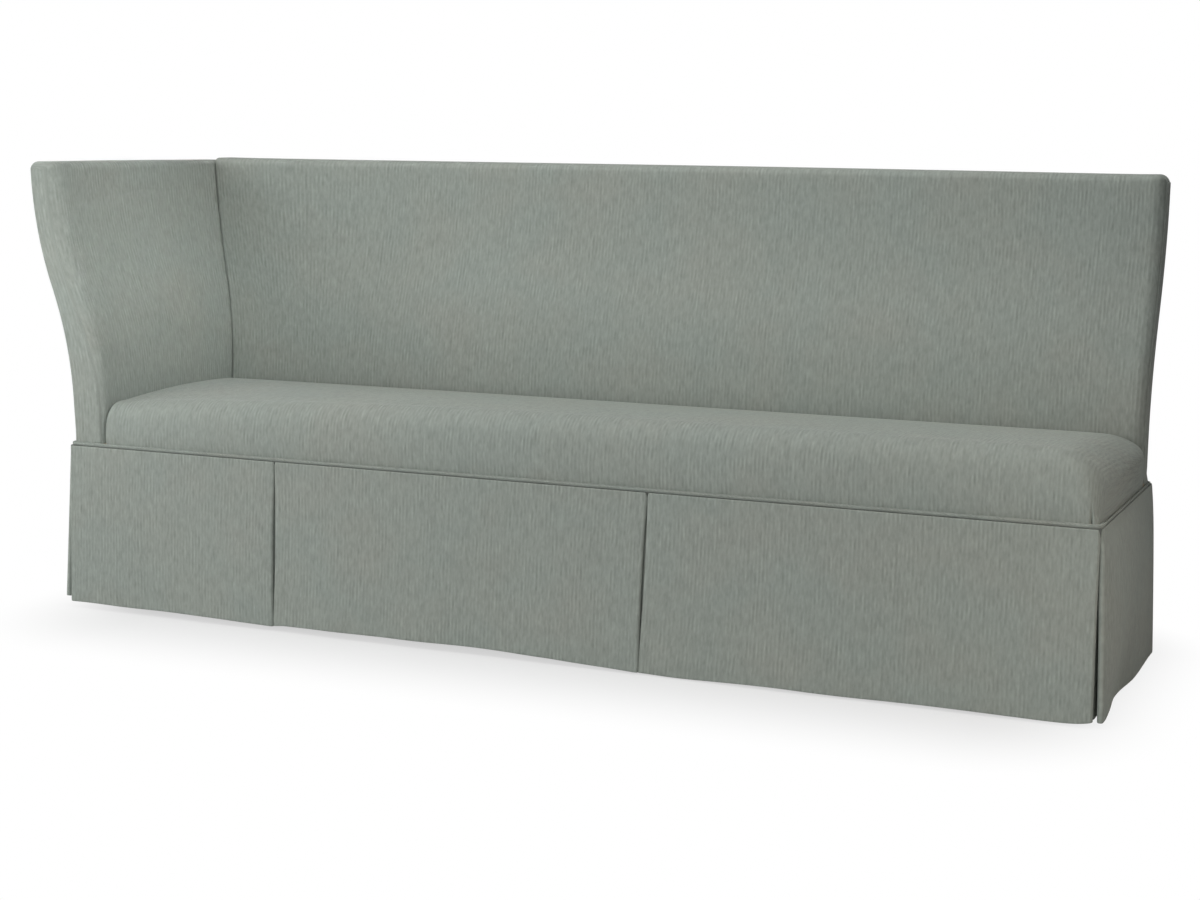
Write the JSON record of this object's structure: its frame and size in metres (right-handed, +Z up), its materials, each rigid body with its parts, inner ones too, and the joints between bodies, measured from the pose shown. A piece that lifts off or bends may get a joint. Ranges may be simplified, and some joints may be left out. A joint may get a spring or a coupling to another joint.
{
  "type": "banquette bench",
  "caption": "Long upholstered banquette bench with a tight crowned seat, a raked back, one flared arm and a floor-length kick-pleated skirt.",
  "frame": {"origin": "on the floor under the middle of the bounding box", "axes": "+Z up; -Y is the open front that a sitter faces; +X runs along the bench to its armless end, with the arm at -X"},
  "size_m": [2.556, 0.731, 1.068],
  "materials": {
    "fabric": "grey-green woven chenille with a fine upright rib",
    "skirt_heading": "stitched lining and tack strip",
    "foam": "open-cell upholstery foam",
    "hardwood": "sawn kiln-dried hardwood",
    "leg_wood": "dark stained hardwood",
    "steel": "zinc-plated steel",
    "glide_plastic": "moulded nylon",
    "webbing": "jute webbing",
    "burlap": "burlap",
    "cambric": "black cambric"
  },
  "bodies": {
    "root": {"arm_bottom_rail": "hardwood", "arm_burlap": "burlap", "arm_foam": "foam", "arm_frame_bolts": "steel", "arm_front_post": "hardwood", "arm_top_rail": "hardwood", "back_bottom_rail": "hardwood", "back_burlap": "burlap", "back_end_cover": "fabric", "back_foam": "foam", "back_frame_bolts": "steel", "back_post_left": "hardwood", "back_post_middle": "hardwood", "back_post_right": "hardwood", "back_top_rail": "hardwood", "back_webbing": "webbing", "base_cross_rail_left": "hardwood", "base_cross_rail_right": "hardwood", "base_front_rail": "hardwood", "base_left_rail": "hardwood", "base_rear_rail": "hardwood", "base_right_rail": "hardwood", "centre_blocks": "hardwood", "corner_blocks": "hardwood", "corner_post": "hardwood", "corner_underlays": "fabric", "dust_cover": "cambric", "inside_arm_cover": "fabric", "inside_back_cover": "fabric", "leg_bolts": "steel", "leg_front_centre": "leg_wood", "leg_front_left": "leg_wood", "leg_front_right": "leg_wood", "leg_glides": "glide_plastic", "leg_rear_centre": "leg_wood", "leg_rear_left": "leg_wood", "leg_rear_right": "leg_wood", "outside_arm_cover": "fabric", "outside_back_cover": "fabric", "pleat_underlays": "fabric", "seat_burlap": "burlap", "seat_cover": "fabric", "seat_foam": "foam", "seat_tack_rail": "hardwood", "seat_webbing": "webbing", "skirt_front_left": "fabric", "skirt_front_middle": "fabric", "skirt_front_right": "fabric", "skirt_head_front": "skirt_heading", "skirt_head_left": "skirt_heading", "skirt_head_rear": "skirt_heading", "skirt_head_right": "skirt_heading", "skirt_left": "fabric", "skirt_rear": "fabric", "skirt_right": "fabric", "welt_front": "fabric", "welt_left": "fabric", "welt_rear": "fabric", "welt_right": "fabric"}
  },
  "joints": []
}
